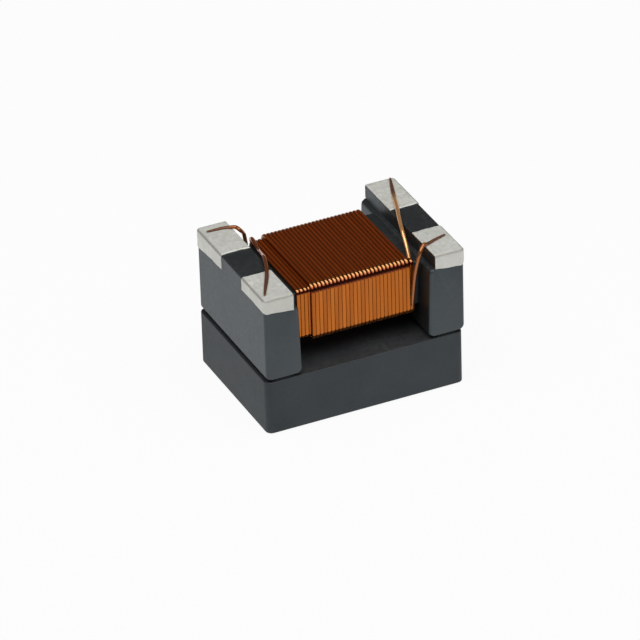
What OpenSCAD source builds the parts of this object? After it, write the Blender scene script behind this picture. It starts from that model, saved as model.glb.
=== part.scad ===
// Surface-mount common mode choke, terminals up.
// Origin under the part's middle, on the plate's underside; +X along the length, +Y to the back, +Z up.

/* [Cores] */
// Length over the terminals
body_l = 3.26; // [2.8:0.02:4.8]
// Width over the terminals
body_w = 2.4; // [2.0:0.1:3.4]
// Thickness of the cover plate
plate_h = 0.87; // [0.5:0.01:1.2]
// How much shorter the plate is than the drum over its terminals
plate_short = 0.05; // [0:0.01:0.1]
// Radius of the plate's upright edges
plate_edge_r = 0.1; // [0.02:0.01:0.2]
// Height of the drum core
drum_h = 1.365; // [1.25:0.005:1.8]
// Radius of the drum's upright edges
drum_edge_r = 0.05; // [0.02:0.01:0.1]
// Radius of a flange's lower edges, outside and inside
drum_base_r = 0.08; // [0.02:0.01:0.15]
// Thickness of the adhesive film under each flange
glue_t = 0.03; // [0.01:0.005:0.06]
// Distance of the film from the flange's sides
glue_inset = 0.03; // [0.01:0.01:0.1]

/* [Flanges] */
// Thickness of a flange at its shoulder
flange_t = 0.555; // [0.5:0.005:0.8]
// Extra thickness of a flange at its base, from the mould's draft
flange_draft = 0.035; // [0.005:0.005:0.05]
// Depth of the foot on a flange
foot_d = 0.47; // [0.35:0.01:0.48]
// Height of the foot above the shoulder
foot_h = 0.225; // [0.15:0.005:0.25]
// Radius of the foot's outer top edge
foot_r = 0.03; // [0.01:0.005:0.06]
// Radius of the shoulder's edge
shoulder_r = 0.07; // [0.02:0.01:0.08]

/* [Winding bar] */
// Width of the bar
bar_w = 1.57; // [1.0:0.01:1.65]
// Height of the bar
bar_h = 0.73; // [0.5:0.01:0.76]
// Height of the bar's axis above the drum's base
bar_z = 0.745; // [0.65:0.005:0.75]
// Radius of the bar's edges
bar_r = 0.02; // [0.01:0.01:0.1]

/* [Terminals] */
// Thickness of the baked metal
terminal_t = 0.015; // [0.01:0.005:0.05]
// Width of the front terminals, across the part
front_terminal_w = 0.79; // [0.5:0.01:0.95]
// Width of the back terminals, across the part
back_terminal_w = 0.88; // [0.5:0.01:0.95]
// Height of the front terminals' bands on the end faces
front_band_h = 0.2; // [0.15:0.01:0.4]
// Height of the back terminals' bands on the end faces
back_band_h = 0.29; // [0.15:0.01:0.4]
// Height of the bands on the side faces
side_band_h = 0.25; // [0.15:0.01:0.35]

/* [Wire] */
// Diameter over the enamel
wire_d = 0.06; // [0.05:0.002:0.07]
// Gap between neighbouring turns
turn_gap = 0.003; // [0.002:0.001:0.01]
// Gap between the wire and what it lies on
lay_gap = 0.002; // [0.001:0.001:0.004]
// Gap from the left flange to the first turn
start_gap = 0.12; // [0.03:0.01:0.2]
// Gap from the last turn to the right flange
end_gap = 0.06; // [0.02:0.005:0.2]
// Number of loose turns at the start of the lower layer
loose_turns = 1; // [1:1:4]
// Pitch of the loose turns
loose_pitch = 0.115; // [0.08:0.005:0.12]
// Height left of a wire where it is bonded down, as a share of its diameter
bond_flat = 0.6; // [0.4:0.05:1]

/* [Hidden] */

ferrite = [0.30, 0.31, 0.32];
plate_ferrite = [0.26, 0.27, 0.28];
silver = [0.74, 0.74, 0.71];
copper = [0.62, 0.34, 0.14];
dark_copper = [0.45, 0.20, 0.09];
adhesive = [0.06, 0.06, 0.06];

// Smoothness of round edges and of the wire
$fn = 48;
wire_sides = 8;
bend_steps = 3;
lead_steps = 3;
tip_share = 0.6;

// A small overrun for cuts
over = 0.2;

drum_l = body_l - 2 * terminal_t;
drum_w = body_w - 2 * terminal_t;
plate_l = body_l - plate_short;
drum_base_z = plate_h + glue_t;
pad_z = drum_base_z + drum_h + terminal_t;
shoulder_z = drum_h - foot_h;
flange_base = flange_t + flange_draft;

// Winding window between the flanges, and the bar's axis
window_x = drum_l / 2 - flange_t;
axis_z = drum_base_z + bar_z;

// Two layers, the upper one lying in the grooves of the lower and one turn shorter
wire_r = wire_d / 2;
pitch = wire_d + turn_gap;
lower_lift = wire_r + lay_gap;
upper_lift = lower_lift + sqrt(wire_d * wire_d - pitch * pitch / 4) + lay_gap;
// A lead that crosses over a lower strand
cross_lift = lower_lift + wire_d + 2 * lay_gap;
first_x = -window_x + start_gap + wire_r;
tight_x = first_x + loose_turns * loose_pitch;
tight_turns = floor((window_x - end_gap - wire_r - tight_x) / pitch);

// Place of each layer's strand by its number
function lower_x(k) = k < loose_turns ? first_x + k * loose_pitch : tight_x + (k - loose_turns) * pitch;
function upper_x(k) = tight_x + (k - 0.5) * pitch;
lower_last = loose_turns + tight_turns;
upper_last = tight_turns - 1;

// Middle line of a layer around the bar
function half_w(lift) = bar_w / 2 + lift;
function half_h(lift) = bar_h / 2 + lift;

// One quarter bend around an edge of the bar, from the angle a onwards, as a polygon that encloses the arc
function bend(lift, x, sy, sz, a) = [
    for (i = [0 : bend_steps - 1])
        let (r = (bar_r + lift) / cos(45 / bend_steps), b = a - (i + 0.5) * 90 / bend_steps)
        [x, sy * (bar_w / 2 - bar_r) + r * cos(b), axis_z + sz * (bar_h / 2 - bar_r) + r * sin(b), 1]
];
function under(lift, x0, x1) = concat(bend(lift, x0, 1, -1, 0), bend(lift, x1, -1, -1, -90));
function over_front(lift, x) = bend(lift, x, -1, 1, -180);
function over_back(lift, x) = bend(lift, x, 1, 1, -270);

// A layer from its first strand on the back to its last strand on the front
lower_layer = [
    for (k = [0 : lower_last - 1]) each concat(
        under(lower_lift, lower_x(k), lower_x(k + 1)),
        over_front(lower_lift, lower_x(k + 1)),
        k < lower_last - 1 ? over_back(lower_lift, lower_x(k + 1)) : []
    )
];
upper_layer = [
    for (k = [0 : upper_last - 1]) each concat(
        k > 0 ? over_back(upper_lift, upper_x(k)) : [],
        under(upper_lift, upper_x(k), upper_x(k + 1)),
        k < upper_last - 1 ? over_front(upper_lift, upper_x(k + 1)) : []
    )
];

// A point on or above a terminal, measured from the body's end and side
function pad_point(sx, sy, from_end, from_side, up, flat) =
    [sx * (body_l / 2 - from_end), sy * (body_w / 2 - from_side), pad_z + wire_r + up, flat];
// A point beside the winding, measured outwards from a strand at x on the upper layer's middle line
function side_point(x, sy, out, z) = [x, sy * (half_w(upper_lift) + out), z, 1];

top_z = axis_z + half_h(upper_lift);
foot_edge = foot_d + terminal_t;
// Height at which a lead clears the shoulder, and place at which one crosses the first strand
clear_z = max(top_z, drum_base_z + shoulder_z + wire_r + 0.02);
cross_x = first_x + 0.036 - 0.3 * start_gap;
last_lower_x = lower_x(lower_last);
last_upper_x = upper_x(upper_last);

// Lead routes, each from its tip on a terminal to the winding
lead_back_left = [
    pad_point(-1, 1, 0.09, 0.21, 0, bond_flat),
    pad_point(-1, 1, 0.25, 0.215, 0, bond_flat),
    pad_point(-1, 1, 0.39, 0.23, 0, bond_flat),
    pad_point(-1, 1, foot_edge + 0.025, 0.31, 0, 1),
    pad_point(-1, 1, foot_edge + 0.065, 0.385, -0.02, 1),
    side_point(first_x - 0.92 * start_gap, 1, 0, clear_z + 0.09),
    side_point(first_x - 0.63 * start_gap, 1, 0, clear_z + 0.01),
    [first_x - 0.25 * start_gap, half_w(lower_lift), axis_z + bar_h / 4, 1]
];
lead_front_left = [
    pad_point(-1, -1, 0.085, 0.14, 0, bond_flat),
    pad_point(-1, -1, 0.15, 0.265, 0, bond_flat),
    pad_point(-1, -1, 0.33, 0.6, 0, bond_flat),
    pad_point(-1, -1, 0.435, 0.84, 0, 1),
    pad_point(-1, -1, foot_edge + 0.04, 1.12, -0.008, 1),
    [first_x - 0.06, bar_w / 4, clear_z + 0.035, 1],
    [cross_x, half_w(0) - 0.12, clear_z + 0.015, 1],
    [cross_x + 0.04, half_w(cross_lift), top_z - 0.09, 1],
    [upper_x(0) - 0.02, half_w(cross_lift), axis_z + bar_h / 8, 1]
];
lead_back_right = [
    pad_point(1, 1, 0.085, 0.05, 0, bond_flat),
    pad_point(1, 1, 0.23, 0.45, 0, bond_flat),
    pad_point(1, 1, 0.37, 0.86, 0, 1),
    pad_point(1, 1, foot_edge + 0.045, 1.37, -0.008, 1),
    [last_lower_x + 0.055, -bar_w / 2 + 0.22, clear_z + 0.075, 1]
];
lead_front_right = [
    pad_point(1, -1, 0.09, 0.48, 0, bond_flat),
    pad_point(1, -1, 0.28, 0.42, 0, bond_flat),
    pad_point(1, -1, 0.43, 0.36, 0, bond_flat),
    pad_point(1, -1, foot_edge + 0.03, 0.335, 0, 1),
    side_point(last_upper_x + 0.14, -1, 0.06, pad_z - 0.045),
    side_point(last_upper_x + 0.08, -1, 0.065, top_z - 0.05),
    side_point(last_upper_x + 0.04, -1, 0.05, axis_z + bar_h / 4),
    side_point(last_upper_x + 0.01, -1, 0.02, axis_z - bar_h / 4)
];

// Smooth curve through a list of points, in even steps
function curve_at(a, b, c, d, t) =
    0.5 * (2 * b + (c - a) * t + (2 * a - 5 * b + 4 * c - d) * t * t + (3 * b - a - 3 * c + d) * t * t * t);
function curve(p) = [
    for (i = [0 : len(p) - 2]) for (j = [0 : lead_steps - 1])
        curve_at(p[max(i - 1, 0)], p[i], p[i + 1], p[min(i + 2, len(p) - 1)], j / lead_steps),
    p[len(p) - 1]
];
function reversed(p) = [for (i = [len(p) - 1 : -1 : 0]) p[i]];

lower_wire = concat(curve(lead_back_left), lower_layer, reversed(curve(lead_back_right)));
upper_wire = concat(curve(lead_front_left), upper_layer, reversed(curve(lead_front_right)));

// Direction of a path at each point, and a sideways direction carried along it without twist
function unit(v) = v / norm(v);
function place(q) = [q[0], q[1], q[2]];
function step_at(p, i) = unit(place(p[min(i, len(p) - 2) + 1]) - place(p[min(i, len(p) - 2)]));
function heading(p, i) = unit(step_at(p, i) + step_at(p, max(i - 1, 0)));
function square_to(v, t) = unit(v - (v * t) * t);
function sideways(p) = [
    for (
        i = 0, u = square_to([0, 0, 1], heading(p, 0));
        i < len(p);
        i = i + 1, u = i < len(p) ? square_to(u, heading(p, i)) : u
    ) u
];

// A point of the wire's skin, pressed down towards the terminals where the wire is bonded
function pressed(q, flat) = [q[0], q[1], pad_z + (q[2] - pad_z) * flat];
function wire_ring(q, t, u, r) = [
    for (s = [0 : wire_sides - 1])
        let (a = (s + 0.5) * 360 / wire_sides)
        pressed(place(q) + r * (cos(a) * u + sin(a) * cross(t, u)), q[3])
];

module wire(p) {
    last = len(p) - 1;
    side = sideways(p);
    points = [
        for (i = [0 : last])
            each wire_ring(p[i], heading(p, i), side[i], i == 0 || i == last ? wire_r * tip_share : wire_r)
    ];
    skin = [
        for (i = [0 : last - 1]) for (s = [0 : wire_sides - 1])
            let (a = i * wire_sides + s, b = i * wire_sides + (s + 1) % wire_sides)
            each [[a, a + wire_sides, b], [b, a + wire_sides, b + wire_sides]]
    ];
    first_cap = [for (s = [0 : wire_sides - 1]) s];
    last_cap = [for (s = [wire_sides - 1 : -1 : 0]) last * wire_sides + s];
    polyhedron(points, concat(skin, [first_cap, last_cap]));
}

// Rectangle with round corners about the origin
module round_rect(l, w, r) {
    square([l - 2 * r, w], center = true);
    square([l, w - 2 * r], center = true);
    for (sx = [-1, 1], sy = [-1, 1]) translate([sx * (l / 2 - r), sy * (w / 2 - r)]) circle(r);
}

// Stands a profile of length and height up, and runs it along Y from y0 to y1
module along_y(y0, y1) {
    translate([0, y1, 0]) rotate([90, 0, 0]) linear_extrude(y1 - y0) children();
}

// What a round edge takes off a lower corner at the origin, in the profile of a flange
module base_corner(r) {
    difference() {
        translate([-r, -r]) square(2 * r);
        translate([r, r]) circle(r);
    }
}

// Profile of the left flange from its outer end inwards, on the drum's base
module flange_profile() {
    wall_h = shoulder_z - shoulder_r;
    // How far the inner wall leans back over the height of its lower edge
    lean = flange_draft * drum_base_r / wall_h;
    difference() {
        union() {
            polygon([
                [0, 0],
                [flange_base, 0],
                [flange_t, wall_h],
                [flange_t - shoulder_r, wall_h],
                [flange_t - shoulder_r, shoulder_z],
                [0, shoulder_z]
            ]);
            translate([flange_t - shoulder_r, wall_h]) circle(shoulder_r);
            square([foot_d, drum_h - foot_r]);
            translate([foot_r, 0]) square([foot_d - foot_r, drum_h]);
            translate([foot_r, drum_h - foot_r]) circle(foot_r);
        }
        base_corner(drum_base_r);
        translate([flange_base - lean, 0]) mirror([1, 0]) base_corner(drum_base_r);
    }
}

// Left flange, rounded at its upright edges
module flange() {
    translate([-drum_l / 2, 0, drum_base_z]) intersection() {
        along_y(-drum_w / 2, drum_w / 2) flange_profile();
        translate([flange_base / 2, 0, 0])
            linear_extrude(drum_h) round_rect(flange_base, drum_w, drum_edge_r);
    }
}

module drum_core() {
    color(ferrite) {
        for (right = [0, 1]) mirror([right, 0, 0]) flange();
        translate([-window_x - flange_t / 2, 0, axis_z])
            rotate([90, 0, 90]) linear_extrude(2 * window_x + flange_t) round_rect(bar_w, bar_h, bar_r);
    }
}

// Flush with the terminals at the left end, a little short at the right
module cover_plate() {
    color(plate_ferrite)
        translate([-plate_short / 2, 0, 0]) linear_extrude(plate_h) round_rect(plate_l, body_w, plate_edge_r);
}

// Film under one flange, inside its flat base
module glue(sx) {
    l = flange_base - 2 * (drum_base_r + glue_inset);
    w = drum_w - 2 * glue_inset;
    color(adhesive) translate([sx * (drum_l - flange_base) / 2, 0, plate_h])
        linear_extrude(glue_t) round_rect(l, w, min(drum_edge_r, l / 4));
}

// Metal over the foot's top, down its end face and its side face, at the front left corner
module terminal_skin(w, end_h) {
    band_h = max(end_h, side_band_h);
    low_z = drum_base_z + drum_h - band_h - over;
    intersection() {
        difference() {
            translate([-body_l / 2, 0, low_z + over]) {
                along_y(-body_w / 2, -body_w / 2 + w) difference() {
                    square([foot_edge, band_h + terminal_t]);
                    translate([0, band_h - foot_r]) difference() {
                        square([foot_r + terminal_t, foot_r + terminal_t]);
                        translate([foot_r + terminal_t, 0]) circle(foot_r + terminal_t);
                    }
                }
            }
            // Room for the foot itself
            flange();
            // The shorter band ends higher up
            if (side_band_h < band_h)
                translate([-drum_l / 2 + drum_edge_r, -body_w / 2 - over, low_z])
                    cube([foot_d + over, over + terminal_t, band_h - side_band_h + over]);
            if (end_h < band_h)
                translate([-body_l / 2 - over, -drum_w / 2 + drum_edge_r, low_z])
                    cube([over + terminal_t, w + over, band_h - end_h + over]);
        }
        translate([0, 0, drum_base_z]) linear_extrude(drum_h + terminal_t + over)
            round_rect(body_l, body_w, drum_edge_r + terminal_t);
    }
}

module terminal(right, back) {
    color(silver) mirror([right, 0, 0]) mirror([0, back, 0])
        if (back == 1) terminal_skin(back_terminal_w, back_band_h);
        else terminal_skin(front_terminal_w, front_band_h);
}

module winding_inner() { color(dark_copper) wire(lower_wire); }
module winding_outer() { color(copper) wire(upper_wire); }

drum_core();
cover_plate();
glue(-1);  // glue_left
glue(1);  // glue_right
terminal(0, 0);  // terminal_front_left
terminal(0, 1);  // terminal_back_left
terminal(1, 0);  // terminal_front_right
terminal(1, 1);  // terminal_back_right
winding_inner();
winding_outer();
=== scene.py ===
"""Surface-mount common mode choke: a wire-wound ferrite drum on a ferrite plate, terminals up.

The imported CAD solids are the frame. Each piece here is a smooth surface in the place of one solid.
Shapes are worked out in millimetres and written to the meshes in metres.
"""

from itertools import accumulate
from types import SimpleNamespace

import bmesh
import bpy
import numpy as np
from mathutils import Matrix, Vector


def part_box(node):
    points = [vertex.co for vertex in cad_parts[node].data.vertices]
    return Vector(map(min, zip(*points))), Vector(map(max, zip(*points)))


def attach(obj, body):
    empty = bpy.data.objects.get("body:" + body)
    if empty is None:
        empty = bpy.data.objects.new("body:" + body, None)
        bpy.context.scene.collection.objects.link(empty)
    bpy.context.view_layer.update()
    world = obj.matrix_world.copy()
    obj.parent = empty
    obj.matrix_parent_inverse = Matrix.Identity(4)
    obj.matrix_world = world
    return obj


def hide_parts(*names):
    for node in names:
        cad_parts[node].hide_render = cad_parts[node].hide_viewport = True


bl_info = {
    "name": "SMD Common Mode Choke",
    "version": (1, 0, 0),
    "blender": (4, 5, 0),
    "location": "View3D > Sidebar > Choke",
    "description": "Builds a wire-wound surface-mount choke around its CAD frame",
    "category": "Add Mesh",
}

MM = 0.001
UP = np.array([0.0, 0.0, 1.0])
TERMINALS = {
    "terminal_front_left": (-1, -1),
    "terminal_back_left": (-1, 1),
    "terminal_front_right": (1, -1),
    "terminal_back_right": (1, 1),
}
SHARP_ANGLE = np.radians(40)
WELD_MM = 0.00002
SENSOR_MM = 36.0

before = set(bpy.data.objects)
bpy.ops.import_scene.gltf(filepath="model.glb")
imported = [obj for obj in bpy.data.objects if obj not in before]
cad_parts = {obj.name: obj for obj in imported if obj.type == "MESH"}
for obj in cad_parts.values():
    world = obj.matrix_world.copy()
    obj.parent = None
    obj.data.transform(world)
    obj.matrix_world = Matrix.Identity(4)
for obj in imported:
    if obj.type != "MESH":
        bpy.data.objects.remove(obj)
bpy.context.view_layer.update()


def box_mm(node):
    """Lowest and highest corner of a CAD node, in millimetres."""
    return np.array(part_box(node)) / MM


DRUM = box_mm("drum_core")
PLATE = box_mm("cover_plate")
CORNER = box_mm("terminal_front_left")
BODY_HALF = np.abs(CORNER[0, :2])
PAD_Z = CORNER[1, 2]
TERMINAL_T = PAD_Z - DRUM[1, 2]


# Settings


def length(name, mm, description):
    """A length property whose default is given in millimetres."""
    return bpy.props.FloatProperty(
        name=name, description=description, default=mm * MM, min=0.0, precision=6, unit="LENGTH"
    )


def shift(name, mm, description):
    """A length property that may be negative, whose default is given in millimetres."""
    return bpy.props.FloatProperty(
        name=name, description=description, default=mm * MM, precision=6, unit="LENGTH"
    )


def degrees(name, value, description):
    """An angle property whose default is given in degrees."""
    return bpy.props.FloatProperty(
        name=name, description=description, default=np.radians(value), unit="ROTATION"
    )


def number(name, value, description):
    """A plain number that isn't negative."""
    return bpy.props.FloatProperty(name=name, description=description, default=value, min=0.0)


def share(name, value, description):
    """A property from 0 to 1."""
    return bpy.props.FloatProperty(
        name=name, description=description, default=value, min=0.0, max=1.0, subtype="FACTOR"
    )


def span(name, ends, description):
    """The two ends of a range between 0 and 1."""
    return bpy.props.FloatVectorProperty(
        name=name, description=description, default=ends, size=2, min=0.0, max=1.0
    )


def colour(name, value, description):
    """A linear colour property."""
    return bpy.props.FloatVectorProperty(
        name=name, description=description, default=value, size=3, min=0.0, max=1.0, subtype="COLOR"
    )


class ChokeCoreSizes(bpy.types.PropertyGroup):
    """Sizes of the drum core, the plate and the adhesive films."""

    flange_t: length("Flange", 0.555, "Thickness of a flange at its shoulder")
    flange_draft: length("Draft", 0.035, "Extra thickness of a flange at its base")
    foot_d: length("Foot depth", 0.47, "Depth of the foot on a flange")
    foot_h: length("Foot height", 0.225, "Height of the foot above the shoulder")
    foot_r: length("Foot edge", 0.03, "Radius of the foot's outer top edge")
    shoulder_r: length("Shoulder", 0.07, "Radius of the shoulder's edge")
    drum_edge_r: length("Upright edges", 0.05, "Radius of the drum's upright edges")
    drum_base_r: length("Base edges", 0.08, "Radius of the flanges' lower edges")
    fine_r: length("Fine edges", 0.018, "Radius of the remaining pressed edges")
    bar_w: length("Bar width", 1.57, "Width of the winding bar")
    bar_h: length("Bar height", 0.73, "Height of the winding bar")
    bar_z: length("Bar axis", 0.745, "Height of the bar's axis above the drum's base")
    bar_r: length("Bar edges", 0.02, "Radius of the bar's edges")
    plate_edge_r: length("Plate corners", 0.1, "Radius of the plate's upright edges")
    plate_rim_r: length("Plate rim", 0.014, "Radius of the plate's ground rims")
    film_edge_r: length("Film corners", 0.05, "Radius of the adhesive films' corners")
    film_draw: length("Film draw", 0.01, "How far a film's edge is drawn in between plate and flange")


class ChokeWireSizes(bpy.types.PropertyGroup):
    """Sizes of the two wires and the way they lie."""

    wire_d: length("Wire", 0.06, "Diameter over the enamel")
    turn_gap: length("Turn gap", 0.0015, "Gap between neighbouring turns")
    lay_gap: length("Lay gap", 0.002, "Gap between the wire and what it lies on")
    start_gap: length("Start gap", 0.0615, "Gap from the left flange to the lower layer's first turn")
    end_gap: length("End gap", 0.09, "Gap from the last turn to the right flange")
    lead_gap: length("Lead gap", 0.12, "Gap from the left flange to the lead that crosses the lower layer")
    bare_turns: bpy.props.IntProperty(
        name="Bare turns",
        description="Number of lower turns before the upper layer starts",
        default=3,
        min=0,
        max=9,
    )
    bond_flat: share("Bond", 0.6, "Height left of a wire where it is bonded down")
    tip_share: share("Tip", 0.35, "Thickness left at a wire's tip")
    tip_run: length("Tip run", 0.42, "Length over which a wire thins out to its tip")


class ChokeTerminalSizes(bpy.types.PropertyGroup):
    """Sizes of the baked terminals."""

    front_band_h: length("Front band", 0.2, "Height of the front terminals' bands on the end faces")
    back_band_h: length("Back band", 0.29, "Height of the back terminals' bands on the end faces")
    side_band_h: length("Side band", 0.24, "Height of the bands on the side faces")
    lean: length("Lean", 0.05, "How much lower the side bands end at their right than at their left")
    back_lean: length("Back lean", 0.06, "How much higher the back terminals' bands end at their inner ends")
    lip_w: length("Lip", 0.022, "Width over which the metal thins out to its edge")
    wave: length("Wave", 0.005, "How far the edges of the paste wander")
    bedding: share("Bedding", 0.1, "How deep the metal lies in the ferrite, as a share of its thickness")


class ChokeFinishes(bpy.types.PropertyGroup):
    """Colours, gloss and grain of the finishes."""

    drum_dark: colour("Drum, dark", (0.001, 0.001, 0.0008), "Ferrite of the drum between its grains")
    drum_pale: colour("Drum, pale", (0.022, 0.0215, 0.019), "Ferrite of the drum on its grains")
    drum_rough: span("Drum roughness", (0.42, 0.52), "Roughness of the drum's ferrite")
    drum_index: number("Drum index", 1.81, "Refractive index of the drum's ferrite")
    plate_dark: colour("Plate, dark", (0.002, 0.002, 0.0018), "Ferrite of the plate between its grains")
    plate_pale: colour("Plate, pale", (0.026, 0.025, 0.023), "Ferrite of the plate on its grains")
    plate_rough: span("Plate roughness", (0.57, 0.67), "Roughness of the plate's ferrite")
    plate_index: number("Plate index", 1.72, "Refractive index of the plate's ferrite")
    ferrite_tint: colour("Ferrite tint", (0.76, 0.90, 1.0), "Tint of the ferrite's gloss")
    ferrite_grain: number("Ferrite grain", 15000.0, "Grains of the ferrite to a metre")
    ferrite_patch: number("Ferrite patches", 1300.0, "Cloudy patches of the ferrite to a metre")
    ferrite_relief: length("Ferrite relief", 0.0015, "Height of the ferrite's grain")
    silver_dull: colour("Silver, dull", (0.69, 0.69, 0.64), "Baked silver in its duller patches")
    silver_pale: colour("Silver, pale", (0.86, 0.86, 0.81), "Baked silver in its paler patches")
    # Darker colour on the feet's top edges, where the paste is thin, also a painted shade that dims the edges'
    # highlight
    silver_thin: colour("Silver, thin", (0.44, 0.43, 0.39), "Thin baked silver on the feet's edges")
    silver_rough: span("Silver roughness", (0.62, 0.78), "Roughness of the baked silver")
    silver_metal: share("Silver metal", 0.75, "How metallic the baked silver is")
    silver_grain: number("Silver grain", 17000.0, "Grains of the baked silver to a metre")
    silver_patch: number("Silver patches", 2600.0, "Patches of the baked silver to a metre")
    silver_relief: length("Silver relief", 0.004, "Height of the baked silver's grain")
    copper_deep: colour("Copper, deep", (0.50, 0.125, 0.0115), "Enamelled copper on its deeper toned turns")
    copper_pale: colour("Copper, pale", (0.80, 0.235, 0.025), "Enamelled copper on its paler turns")
    # Painted highlight: paler copper where the bends face up
    copper_bend: colour("Copper, bends", (0.50, 0.32, 0.12), "Copper on the bends, where enamel is thin")
    # Painted shade: a dark band on the bends, below where they face up
    copper_shade: colour("Copper, shade", (0.13, 0.022, 0.008), "Copper under the thick bond below the bends")
    # Painted shade: colour of the grooves between the turns on top
    copper_groove: colour("Copper, grooves", (0.03, 0.006, 0.002), "Bond in the grooves between the turns")
    copper_burnt: colour("Copper, burnt", (0.20, 0.085, 0.045), "Copper bonded down, its enamel burnt off")
    # The left leads keep the deep colour; the right leads are painted paler as a highlight, the lower wire's
    # fully and the upper wire's a little
    lead_deep: colour("Leads, deep", (0.31, 0.095, 0.028), "Copper of the leads where it is tarnished")
    lead_highlight: colour("Leads, pale", (0.90, 0.46, 0.19), "Copper of the leads where it is bright")
    lower_lead_highlight: share("Lower lead", 1.0, "How bright the lower wire's right lead is")
    upper_lead_highlight: share("Upper lead", 0.1, "How bright the upper wire's right lead is")
    # Painted light: the copper is tinted by which way it faces, deeper on top and duller on the sides
    enamel: colour("Enamel", (1.0, 0.62, 0.5), "What the enamel lets through where it lies thick, on top")
    enamel_side_shade: colour("Enamel, sides", (0.68, 0.66, 0.60), "What the enamel lets through on the sides")
    bridge: share("Bridge", 0.97, "How far the bond fills the grooves between the turns on the sides")
    bridge_top: share("Bridge, top", 0.3, "How far the bond fills the grooves between the turns on top")
    # Strength of the painted shade in the grooves on top
    groove_shade: share("GrooveShade", 0.7, "How dark the grooves between the turns are on top")
    wire_streak: number("Wire streaks", 9000.0, "Streaks on the wires to a metre")
    wire_rough: span("Wire roughness", (0.06, 0.14), "Roughness of the wires")
    burnt_rough: share("Burnt roughness", 0.4, "Roughness added where the enamel is burnt off")
    wire_metal: span("Wire metal", (0.7, 0.87), "How metallic the leads and the turns are")
    coat: share("Coat", 0.15, "Weight of the enamel's clear coat")
    coat_rough: share("Coat roughness", 0.04, "Roughness of the enamel's clear coat")
    coat_index: number("Coat index", 1.5, "Refractive index of the enamel's clear coat")
    adhesive: colour("Adhesive", (0.010, 0.010, 0.010), "Adhesive film")
    adhesive_pale: colour("Adhesive, pale", (0.022, 0.022, 0.022), "Adhesive film in its paler clouds")
    adhesive_rough: span("Adhesive roughness", (0.4, 0.6), "Roughness of the adhesive")
    adhesive_cloud: number("Adhesive clouds", 6000.0, "Clouds of the adhesive to a metre")


class ChokeStage(bpy.types.PropertyGroup):
    """Floor, light and camera."""

    floor: colour("Floor", (0.70, 0.70, 0.70), "Colour of the floor")
    floor_white: share("Floor white", 0.93, "Share of plain white in what the camera sees of the floor")
    floor_half: length("Floor half", 2000.0, "Half the width of the floor")
    floor_drop: length("Floor drop", 0.02, "How far the floor lies under the plate")
    room: colour("Room", (0.08, 0.08, 0.08), "Dim light from the room around")
    softbox_w: length("Softbox width", 200.0, "Width of the softbox above")
    softbox_d: length("Softbox depth", 120.0, "Depth of the softbox, towards the camera")
    softbox_z: length("Softbox height", 100.0, "Height of the softbox above the floor")
    softbox_ahead: length("Softbox ahead", 40.0, "How far the softbox hangs towards the camera")
    softbox_power: bpy.props.FloatProperty(
        name="Softbox power", description="Power of the softbox", default=0.18, min=0.0, unit="POWER"
    )
    azimuth: degrees("Azimuth", -24.38, "Camera's turn about the upright")
    elevation: degrees("Elevation", 31.36, "Camera's height over the horizon")
    roll: degrees("Roll", -1.75, "Camera's turn about its own axis")
    distance: length("Distance", 89.51, "Distance of the camera from the point that it aims at")
    aim_right: shift("Aim right", -0.2023, "How far the aim lies right of the plate's middle, in the picture")
    aim_up: shift("Aim up", 0.7393, "How far the aim lies above the plate's middle, in the picture")
    lens: bpy.props.FloatProperty(
        name="Lens", description="Focal length on a 36 mm sensor", default=337.5, min=1.0, unit="CAMERA"
    )


def in_mm(*groups):
    """The settings of some groups as plain numbers, with lengths in millimetres."""
    found = {}
    for group in groups:
        for prop in group.bl_rna.properties:
            if prop.identifier not in ("rna_type", "name"):
                value = getattr(group, prop.identifier)
                found[prop.identifier] = value / MM if getattr(prop, "unit", "") == "LENGTH" else value
    return SimpleNamespace(**found)


# Surfaces


def unit(v):
    """Vectors along the last axis, brought to length one."""
    return v / np.linalg.norm(v, axis=-1, keepdims=True)


def rounded_outline(corners, radii, steps=6):
    """A closed outline with round corners, run anticlockwise: at each corner an arc that touches both edges.

    The arc's centre lies at the corner less radius (n0 + n1) / (1 + n0.n1), n0 and n1 being the edges'
    outward normals, on the other side where the corner is hollow. Gives the points and their outward normals.
    """
    c = np.asarray(corners, float)
    r = np.asarray(radii, float)[:, None]
    behind = unit(c - np.roll(c, 1, 0))
    ahead = unit(np.roll(c, -1, 0) - c)
    n0 = behind[:, ::-1] * [1, -1]
    n1 = ahead[:, ::-1] * [1, -1]
    cross = n0[:, 0] * n1[:, 1] - n0[:, 1] * n1[:, 0]
    dot = (n0 * n1).sum(1)
    bulge = np.sign(cross)[:, None]
    centre = c - bulge * r * (n0 + n1) / (1 + dot[:, None])
    turn = np.arctan2(cross, dot)
    angle = np.arctan2(n0[:, 1], n0[:, 0])[:, None] + turn[:, None] * np.linspace(0, 1, steps + 1)
    normals = np.stack([np.cos(angle), np.sin(angle)], -1)
    points = centre[:, None] + (bulge * r)[:, None] * normals
    return points.reshape(-1, 2), normals.reshape(-1, 2)


def box_outline(low, high, r, steps=8):
    """A rectangle between two corners, with round corners."""
    (x0, y0), (x1, y1) = low, high
    return rounded_outline([(x0, y0), (x1, y0), (x1, y1), (x0, y1)], [r] * 4, steps)


def round_ended_run(start, end, r, steps=6):
    """Stations of a straight run with quarter-round ends: places along it, and how far it is drawn in there.

    At the angle a from the end face, the place is r (1 - cos a) from the end and the draw is r (1 - sin a).
    """
    a = np.linspace(0, np.pi / 2, steps + 1)
    places = np.concatenate([start + r * (1 - np.cos(a)), (end - r * (1 - np.cos(a)))[::-1]])
    draw = np.concatenate([r * (1 - np.sin(a)), (r * (1 - np.sin(a)))[::-1]])
    return places, draw


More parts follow.
